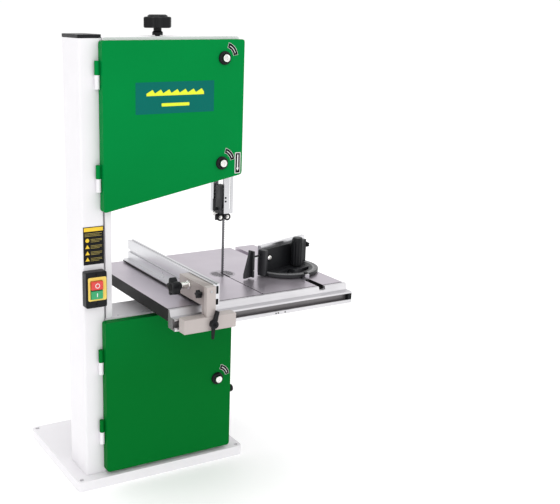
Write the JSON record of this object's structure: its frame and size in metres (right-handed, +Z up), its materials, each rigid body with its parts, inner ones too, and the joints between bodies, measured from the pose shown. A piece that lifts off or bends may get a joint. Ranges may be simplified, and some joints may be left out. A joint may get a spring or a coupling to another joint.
{
  "type": "band saw",
  "caption": "Floor-standing wood band saw: two hinged wheel covers on a column, tilting cast table with rip fence, mitre gauge and adjustable blade guide, without a stand.",
  "frame": {"origin": "on the floor under the middle of the saw's outline in plan", "axes": "+Z up, +X to the operator's right, +Y away from the operator; the door fronts face -Y"},
  "size_m": [0.7349, 0.6263, 1.2365],
  "materials": {
    "white_paint": "satin",
    "green_paint": "gloss",
    "black_plastic": "satin",
    "black_cast": "satin black coating",
    "red_plastic": "gloss",
    "green_plastic": "gloss",
    "wheel_aluminium": "machined",
    "rubber": "matt",
    "blade_steel": "satin",
    "steel": "satin",
    "dark_steel": "satin",
    "grey_paint": "satin",
    "table_iron": "ground",
    "aluminium": "anodised",
    "beige_cast": "painted casting"
  },
  "bodies": {
    "frame": {"base_plate": "white_paint", "column": "white_paint", "column_cap": "black_plastic", "upper_housing": "white_paint", "lower_housing": "white_paint", "dust_port": "black_plastic", "blade_channel": "white_paint", "switch_box": "black_plastic", "blade": "blade_steel", "carriage_guide": "steel", "lower_bearing_housing": "grey_paint", "drive_belt": "rubber", "motor": "grey_paint", "guide_post_bracket": "grey_paint", "lower_guide_bracket": "grey_paint", "trunnion_base": "beige_cast"},
    "upper_door": {"upper_door": "green_paint"},
    "lower_door": {"lower_door": "green_paint"},
    "upper_latch_top": {"upper_latch_top": "black_plastic"},
    "upper_latch_bottom": {"upper_latch_bottom": "black_plastic"},
    "lower_latch": {"lower_latch": "black_plastic"},
    "stop_button": {"stop_button": "red_plastic"},
    "start_button": {"start_button": "green_plastic"},
    "tension_knob": {"tension_knob": "black_plastic"},
    "wheel_carriage": {"wheel_carriage": "dark_steel"},
    "tracking_knob": {"tracking_knob": "black_plastic"},
    "upper_axle": {"upper_axle": "steel"},
    "upper_wheel": {"upper_wheel": "wheel_aluminium", "upper_tyre": "rubber"},
    "lower_wheel": {"lower_wheel": "wheel_aluminium", "lower_tyre": "rubber", "lower_shaft": "steel", "driven_pulley": "wheel_aluminium"},
    "motor_rotor": {"motor_pulley": "wheel_aluminium"},
    "belt_tension_knob": {"belt_tension_knob": "black_plastic"},
    "guide": {"guide_post": "steel", "guide_block": "black_cast", "blade_guard": "steel"},
    "guide_handwheel": {"guide_handwheel": "black_plastic"},
    "guide_bearing_left": {"guide_bearing_left": "steel"},
    "guide_bearing_right": {"guide_bearing_right": "steel"},
    "thrust_bearing": {"thrust_bearing": "steel"},
    "guide_clamp_lever": {"guide_clamp_lever": "black_plastic"},
    "table": {"table": "table_iron", "table_insert": "aluminium", "table_trunnion": "beige_cast", "front_rail": "aluminium"},
    "tilt_lock_lever": {"tilt_lock_lever": "black_plastic"},
    "fence_carriage": {"fence_carrier": "beige_cast", "fence_bracket": "beige_cast"},
    "fence_bar": {"fence_bar": "aluminium", "fence_glide": "black_plastic"},
    "fence_knob_large": {"fence_knob_large": "black_plastic"},
    "fence_knob_small": {"fence_knob_small": "black_plastic"},
    "fence_lever": {"fence_lever": "black_plastic"},
    "mitre_bar": {"mitre_bar": "steel"},
    "mitre_head": {"mitre_head": "black_cast", "mitre_fence": "aluminium", "mitre_stop": "black_cast"},
    "mitre_handle": {"mitre_handle": "black_plastic"}
  },
  "joints": [
    {"name": "upper_door_hinge", "type": "hinge", "parent": "frame", "child": "upper_door", "pos_m": [-0.2895, -0.05, 0.97], "axis": [0, 0, -1], "range_deg": [0, 110]},
    {"name": "lower_door_hinge", "type": "hinge", "parent": "frame", "child": "lower_door", "pos_m": [-0.2895, -0.05, 0.25], "axis": [0, 0, -1], "range_deg": [0, 110]},
    {"name": "upper_latch_top_turn", "type": "hinge", "parent": "upper_door", "child": "upper_latch_top", "pos_m": [0.058, -0.067, 1.1295], "axis": [0, 1, 0], "range_deg": [-90, 0]},
    {"name": "upper_latch_bottom_turn", "type": "hinge", "parent": "upper_door", "child": "upper_latch_bottom", "pos_m": [0.055, -0.067, 0.858], "axis": [0, 1, 0], "range_deg": [0, 90]},
    {"name": "lower_latch_turn", "type": "hinge", "parent": "lower_door", "child": "lower_latch", "pos_m": [0.053, -0.067, 0.25], "axis": [0, 1, 0], "range_deg": [0, 90]},
    {"name": "stop_press", "type": "slide", "parent": "frame", "child": "stop_button", "axis": [0, 1, 0], "range_m": [0, 0.004], "stiffness_N_per_m": 400, "springref_m": -0.004},
    {"name": "start_press", "type": "slide", "parent": "frame", "child": "start_button", "axis": [0, 1, 0], "range_m": [0, 0.004], "stiffness_N_per_m": 400, "springref_m": -0.004},
    {"name": "tension_knob_turn", "type": "hinge", "parent": "frame", "child": "tension_knob", "pos_m": [-0.0825, 0.038, 1.216], "axis": [0, 0, 1], "range_deg": [-1805, 0]},
    {"name": "wheel_carriage_slide", "type": "slide", "parent": "frame", "child": "wheel_carriage", "axis": [0, 0, 1], "range_m": [-0.01, 0]},
    {"name": "tracking_knob_turn", "type": "hinge", "parent": "wheel_carriage", "child": "tracking_knob", "pos_m": [-0.0825, 0.083, 0.96], "axis": [0, 1, 0], "range_deg": [-540, 540]},
    {"name": "tracking_tilt", "type": "hinge", "parent": "wheel_carriage", "child": "upper_axle", "pos_m": [-0.0825, -0.017, 0.988], "axis": [1, 0, 0], "range_deg": [-1, 1]},
    {"name": "upper_wheel_spin", "type": "hinge", "parent": "upper_axle", "child": "upper_wheel", "pos_m": [-0.0825, -0.017, 0.988], "axis": [0, 1, 0], "continuous": true},
    {"name": "lower_wheel_spin", "type": "hinge", "parent": "frame", "child": "lower_wheel", "pos_m": [-0.0825, -0.017, 0.245], "axis": [0, 1, 0], "continuous": true},
    {"name": "motor_spin", "type": "hinge", "parent": "frame", "child": "motor_rotor", "pos_m": [0.0175, 0.01, 0.13], "axis": [0, 1, 0], "continuous": true},
    {"name": "belt_tension_knob_turn", "type": "hinge", "parent": "frame", "child": "belt_tension_knob", "pos_m": [0.1175, -0.025, 0.192], "axis": [1, 0, 0], "range_deg": [-360, 360]},
    {"name": "guide_slide", "type": "slide", "parent": "frame", "child": "guide", "axis": [0, 0, -1], "range_m": [-0.03, 0.13]},
    {"name": "guide_handwheel_turn", "type": "hinge", "parent": "frame", "child": "guide_handwheel", "pos_m": [0.0975, 0.083, 0.86], "axis": [0, -1, 0], "range_deg": [-172, 745]},
    {"name": "guide_bearing_left_spin", "type": "hinge", "parent": "guide", "child": "guide_bearing_left", "pos_m": [0.0826, -0.016, 0.698], "axis": [0, 1, 0], "continuous": true},
    {"name": "guide_bearing_right_spin", "type": "hinge", "parent": "guide", "child": "guide_bearing_right", "pos_m": [0.1044, -0.016, 0.698], "axis": [0, 1, 0], "continuous": true},
    {"name": "thrust_bearing_spin", "type": "hinge", "parent": "guide", "child": "thrust_bearing", "pos_m": [0.0925, 0.0003, 0.698], "axis": [1, 0, 0], "continuous": true},
    {"name": "guide_clamp_lever_turn", "type": "hinge", "parent": "guide", "child": "guide_clamp_lever", "pos_m": [0.0655, -0.019, 0.724], "axis": [1, 0, 0], "range_deg": [0, 60]},
    {"name": "table_tilt", "type": "hinge", "parent": "frame", "child": "table", "pos_m": [0.0935, -0.017, 0.536], "axis": [0, 1, 0], "range_deg": [0, 45]},
    {"name": "tilt_lock_lever_turn", "type": "hinge", "parent": "frame", "child": "tilt_lock_lever", "pos_m": [0.0675, 0.083, 0.49], "axis": [0, 1, 0], "range_deg": [-60, 0]},
    {"name": "fence_slide", "type": "slide", "parent": "table", "child": "fence_carriage", "axis": [-1, 0, 0], "range_m": [-0.15, 0.008]},
    {"name": "fence_bar_slide", "type": "slide", "parent": "fence_carriage", "child": "fence_bar", "axis": [0, 1, 0], "range_m": [-0.035, 0.05]},
    {"name": "fence_lever_turn", "type": "hinge", "parent": "fence_carriage", "child": "fence_lever", "pos_m": [-0.0975, -0.307, 0.506], "axis": [0, 1, 0], "range_deg": [0, 60]},
    {"name": "fence_knob_large_turn", "type": "hinge", "parent": "fence_carriage", "child": "fence_knob_large", "pos_m": [-0.1325, -0.204, 0.582], "axis": [1, 0, 0], "range_deg": [0, 360]},
    {"name": "fence_knob_small_turn", "type": "hinge", "parent": "fence_carriage", "child": "fence_knob_small", "pos_m": [-0.1225, -0.27, 0.576], "axis": [1, 0, 0], "range_deg": [0, 360]},
    {"name": "mitre_slide", "type": "slide", "parent": "table", "child": "mitre_bar", "axis": [0, 1, 0], "range_m": [-0.055, 0.11]},
    {"name": "mitre_swivel", "type": "hinge", "parent": "mitre_bar", "child": "mitre_head", "pos_m": [0.2725, -0.057, 0.545], "axis": [0, 0, 1], "range_deg": [-77, 43]},
    {"name": "mitre_handle_turn", "type": "hinge", "parent": "mitre_head", "child": "mitre_handle", "pos_m": [0.3021, -0.07514, 0.59], "axis": [0, 0, 1], "range_deg": [0, 270]}
  ],
  "couplings": [
    {"joint": "tension_knob_turn", "follows": "wheel_carriage_slide", "rad_per_m": 3141.6},
    {"joint": "tracking_tilt", "follows": "tracking_knob_turn", "ratio": 0.00185},
    {"joint": "upper_wheel_spin", "follows": "lower_wheel_spin", "ratio": 1},
    {"joint": "motor_spin", "follows": "lower_wheel_spin", "ratio": 2.5656},
    {"joint": "guide_handwheel_turn", "follows": "guide_slide", "rad_per_m": 100}
  ]
}
